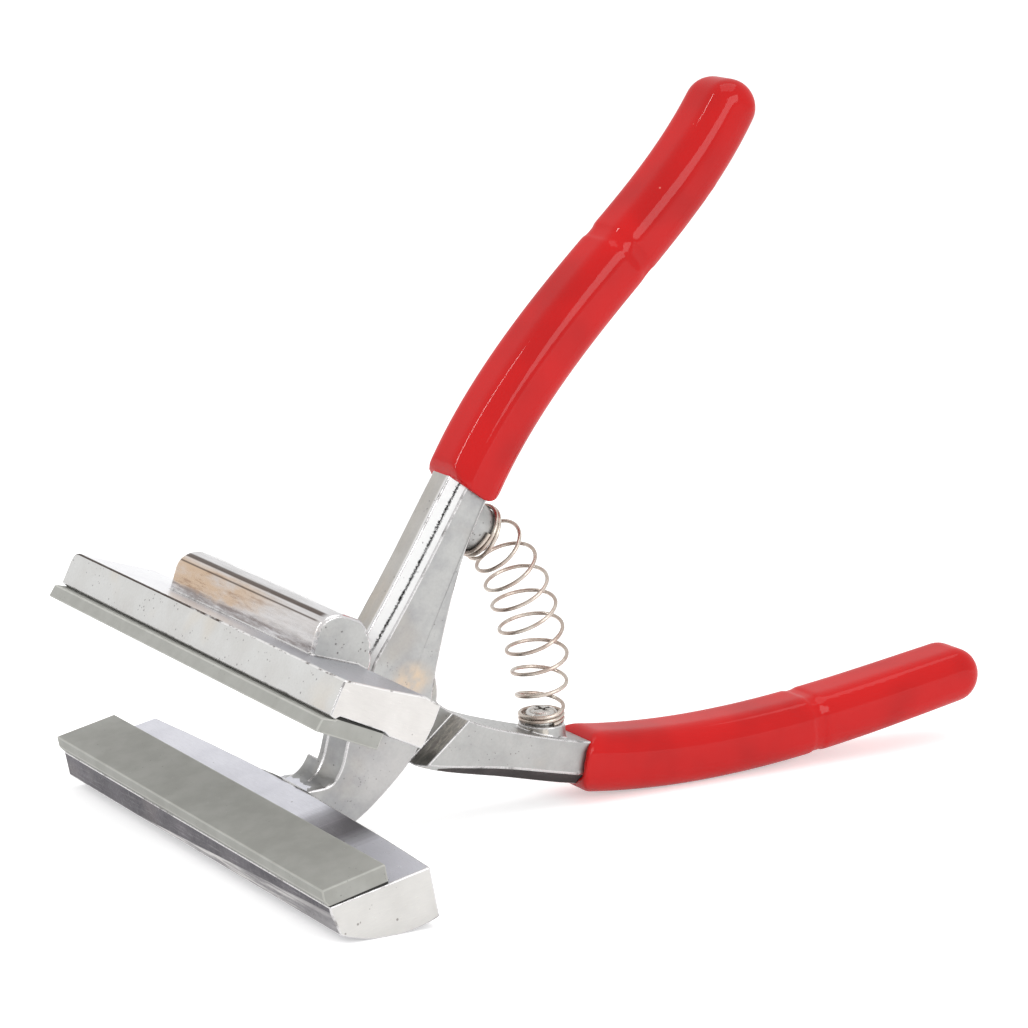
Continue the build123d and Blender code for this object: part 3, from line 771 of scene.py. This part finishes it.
class PLIERS_OT_lower_jaw(bpy.types.Operator):
    """Lower jaw, arm and upper handle"""
    bl_idname = "pliers.lower_jaw"
    bl_label = "Lower jaw lever"

    def execute(self, context):
        settings = context.scene.pliers_metal
        piece = dressed_copy("lower_jaw_lever", "lower_jaw_casting")
        # a facet is ground off the lower front edge, deeper towards the near end
        edit_all(piece)
        bpy.ops.mesh.bisect(plane_co=from_jaw(FACET_POINT, LOWER_TILT), plane_no=turned(FACET_OUT, -LOWER_TILT),
                            clear_outer=True, use_fill=True)
        deselect_all()
        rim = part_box("upper_grip")[0]
        shrink_core(piece, lambda place: place.z > rim[2] + 14 * MM)
        round_edges(piece, settings.edge_width)
        plate = tuple(settings.plate)
        materials = [
            casting_finish("arm_casting", CHEEK_LEAN, plate, (0.32, 0.32, 0.325), (0.40, 0.37, 0.33), pits=0.42,
                           marks=arm_marks),
            edge_finish("arm_edge", WORN_EDGE),
            ground_finish("strip_ground", LOWER_TILT, (8, 1, 1), (0.76, 0.76, 0.82), (0.68, 0.68, 0.74),
                          marks=strip_painted_reflection),
            # the lower jaw's front, which faces down, gets a near-black casting: a painted dark reflection
            casting_finish("lower_front_dark_reflection", LOWER_TILT, (0.060, 0.055, 0.066), (0.11, 0.10, 0.115),
                           (0.15, 0.13, 0.13), marks=lower_front_marks),
            casting_finish("arm_front", CHEEK_LEAN, (0.50, 0.48, 0.45), (0.44, 0.42, 0.39), (0.48, 0.42, 0.35),
                           pits=0.25, marks=front_marks),
            ground_finish("end_ground", LOWER_TILT, (1, 8, 1), (0.58, 0.57, 0.55), (0.52, 0.51, 0.49), pits=0.2),
            casting_finish("lower_facet", LOWER_TILT, (0.20, 0.19, 0.20), (0.30, 0.29, 0.30), (0.3, 0.28, 0.27),
                           marks=facet_marks),
        ]

        casting, worn, strip, front, arm_front, ground, facet = range(len(materials))

        def choose(centre, normal, edge):
            place, facing = in_jaw(centre, LOWER_TILT), turned(normal, LOWER_TILT)
            if edge:
                return worn
            if abs(centre.x) > JAW_END - 0.5 * MM:
                return ground
            if facing.dot(FACET_OUT) > 0.995 and place.y < -40:
                return facet
            if facing.z > 0.99 and place.z < -8:
                return strip
            # the lower jaw's front faces take the near-black painted reflection
            if place.z < -9 and place.y < LOWER_JAW_BACK and facing.z < 0.2 and facing.y < 0.5:
                return front
            return arm_front if normal.y < -0.5 and centre.z > ARM_FOOT else casting

        give_materials(piece, materials, choose)
        finish_piece(piece, LOWER_BODY, "cast_metal", "lower_jaw_lever")
        return {"FINISHED"}


# ---------------------------------------------------------------- pads, pin and screws

class PLIERS_OT_pads(bpy.types.Operator):
    """Rubber pads on both jaws"""
    bl_idname = "pliers.pads"
    bl_label = "Pads"

    def execute(self, context):
        for node, body, tilt, seat in (("upper_jaw_pad", UPPER_BODY, UPPER_TILT, UPPER_PAD_SEAT),
                                       ("lower_jaw_pad", LOWER_BODY, LOWER_TILT, LOWER_PAD_SEAT)):
            piece = dressed_copy(node, node + "_rubber")
            round_edges(piece, PAD_EDGE)
            # the edge slot is the same rubber 1.3 times lighter: a painted highlight along the rounded edges
            materials = [pad_finish(node + "_rubber", tilt, seat, 1.0), pad_finish(node + "_edge", tilt, seat, 1.3)]
            give_materials(piece, materials, lambda centre, normal, edge: 1 if edge else 0)
            finish_piece(piece, body, "pad", node)
        return {"FINISHED"}


class PLIERS_OT_fasteners(bpy.types.Operator):
    """Pivot pin and the two screws in the spring's seats"""
    bl_idname = "pliers.fasteners"
    bl_label = "Pin and screws"

    def execute(self, context):
        bright = ground_finish("screw_bright", 0, (1, 1, 1), (0.74, 0.73, 0.71), (0.55, 0.53, 0.50), rough=0.2)
        pin = ground_finish("pin_ground", 0, (1, 6, 1), (0.70, 0.69, 0.67), (0.60, 0.59, 0.58))
        for node, body, slot, material in (("upper_spring_screw", LOWER_BODY, "screw_steel", bright),
                                           ("lower_spring_screw", UPPER_BODY, "screw_steel", bright),
                                           ("pivot_pin", UPPER_BODY, "pin_steel", pin)):
            piece = dressed_copy(node, node + "_steel")
            round_edges(piece, FASTENER_EDGE)
            give_materials(piece, [material, material], lambda centre, normal, edge: 0)
            finish_piece(piece, body, slot, node)
        return {"FINISHED"}


# ---------------------------------------------------------------- the spring

def smooth_line(points, name):
    """A smooth curve object through points (y, z) in the levers' plane, in millimetres."""
    deselect_all()
    bpy.ops.curve.primitive_bezier_curve_add(location=(0, 0, 0))
    curve = bpy.context.object
    curve.name = name
    spline = curve.data.splines[0]
    spline.bezier_points.add(len(points) - len(spline.bezier_points))
    for knot, (y, z) in zip(spline.bezier_points, points):
        knot.co = (0, y * MM, z * MM)
        knot.handle_left_type = knot.handle_right_type = "AUTO"
    curve.data.resolution_u = 24
    curve.data.twist_mode = "Z_UP"
    return curve


def walk(curve):
    """The points of a curve, how far along it each lies, from 0 to 1, and its length."""
    mesh = bpy.data.meshes.new_from_object(curve)
    points = [vertex.co.copy() for vertex in mesh.vertices]
    bpy.data.meshes.remove(mesh)
    lengths = [0.0]
    for before, after in zip(points, points[1:]):
        lengths.append(lengths[-1] + (after - before).length)
    return points, [length / lengths[-1] for length in lengths], lengths[-1]


def along(points, shares, share):
    """Point and direction at a share of the way along a walked curve."""
    for index in range(1, len(points)):
        if shares[index] >= share or index == len(points) - 1:
            before, after = points[index - 1], points[index]
            part = (share - shares[index - 1]) / (shares[index] - shares[index - 1])
            return before.lerp(after, part), (after - before).normalized()


class PLIERS_OT_spring(bpy.types.Operator):
    """Bowed return spring with closed end turns, between its seats"""
    bl_idname = "pliers.spring"
    bl_label = "Return spring"

    def execute(self, context):
        settings = context.scene.pliers_spring
        axis = smooth_line(SPRING_LINE, "spring_axis")
        points, shares, length = walk(axis)
        closed = CLOSED_TURNS * settings.wire * CLOSED_PITCH / length
        deselect_all()
        bpy.ops.curve.primitive_nurbs_path_add(location=(0, 0, 0))
        coil = context.object
        coil.name = "return_spring_wire"
        spline = coil.data.splines[0]
        open_turns = settings.turns - 2 * CLOSED_TURNS
        count = settings.turns * STEPS_PER_TURN + 1
        spline.points.add(count - len(spline.points))
        for step in range(count):
            turn = step / STEPS_PER_TURN
            if turn < CLOSED_TURNS:
                share = closed * turn / CLOSED_TURNS
            elif turn > settings.turns - CLOSED_TURNS:
                share = 1 - closed * (settings.turns - turn) / CLOSED_TURNS
            else:
                share = closed + (1 - 2 * closed) * (turn - CLOSED_TURNS) / open_turns
            bulge = sin(pi * min(1, max(0, (share - closed) / (1 - 2 * closed))))
            end = settings.end_diameter + (settings.top_diameter - settings.end_diameter) * share
            outer = end + (settings.middle_diameter - end) * bulge
            radius = (outer - settings.wire) / 2
            middle, run = along(points, shares, share)
            swing = 2 * pi * turn
            spline.points[step].co = (radius * cos(swing), middle.y + run.z * radius * sin(swing),
                                      middle.z - run.y * radius * sin(swing), 1)
        spline.order_u = 3
        spline.use_endpoint_u = True
        spline.resolution_u = 2
        coil.data.bevel_depth = settings.wire / 2
        coil.data.bevel_resolution = 3
        coil.data.use_fill_caps = True
        make_active(coil)
        bpy.ops.object.convert(target="MESH")
        piece = context.object
        piece.data.materials.clear()
        piece.data.materials.append(wire_finish())
        smooth(piece, crease=50)
        bpy.data.objects.remove(axis)
        deselect_all()
        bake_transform(piece)
        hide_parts("return_spring")
        return {"FINISHED"}


# ---------------------------------------------------------------- sleeves

class PLIERS_OT_sleeves(bpy.types.Operator):
    """Dipped sleeves on both handles"""
    bl_idname = "pliers.sleeves"
    bl_label = "Sleeves"

    def execute(self, context):
        settings = context.scene.pliers_sleeve
        vinyl = vinyl_finish(settings.colour)
        for node, body, lever, mouth in (
                ("upper_grip", LOWER_BODY, "lower_jaw_lever", Vector((0, -0.45, -0.89))),
                ("lower_grip", UPPER_BODY, "upper_jaw_lever", Vector((0, -1, 0.05)))):
            piece = dressed_copy(node, node + "_vinyl")
            fill_sleeve(piece, lever, mouth)
            apply_modifier(piece, "REMESH", mode="VOXEL", voxel_size=settings.grid)
            apply_modifier(piece, "SMOOTH", factor=0.5, iterations=settings.softness)
            give_materials(piece, [vinyl], lambda centre, normal, edge: 0)
            smooth(piece, crease=60)
            finish_piece(piece, body, "grip", node)
        return {"FINISHED"}


# ---------------------------------------------------------------- panel and registration

OPERATORS = (PLIERS_OT_stage, PLIERS_OT_upper_jaw, PLIERS_OT_lower_jaw, PLIERS_OT_pads, PLIERS_OT_fasteners,
             PLIERS_OT_spring, PLIERS_OT_sleeves)


class PLIERS_PT_panel(bpy.types.Panel):
    """Sizes, colours and steps of the pliers"""
    bl_label = "Canvas pliers"
    bl_idname = "PLIERS_PT_panel"
    bl_space_type = "VIEW_3D"
    bl_region_type = "UI"
    bl_category = "Pliers"

    def draw(self, context):
        for group in SETTINGS:
            box = self.layout.box()
            owner = getattr(context.scene, group)
            for name in owner.__annotations__:
                box.prop(owner, name)
        for operator in OPERATORS:
            self.layout.operator(operator.bl_idname)


SETTINGS = {"pliers_sleeve": SleeveSettings, "pliers_spring": SpringSettings, "pliers_metal": MetalSettings}
CLASSES = (*SETTINGS.values(), *OPERATORS, PLIERS_PT_panel)


def register():
    for cls in CLASSES:
        bpy.utils.register_class(cls)
    for name, group in SETTINGS.items():
        setattr(bpy.types.Scene, name, PointerProperty(type=group))


def unregister():
    for name in SETTINGS:
        delattr(bpy.types.Scene, name)
    for cls in reversed(CLASSES):
        bpy.utils.unregister_class(cls)


def main():
    register()
    build_groups()
    for operator in OPERATORS:
        group, name = operator.bl_idname.split(".")
        getattr(getattr(bpy.ops, group), name)()
    bpy.context.view_layer.update()


if __name__ == "__main__":
    main()
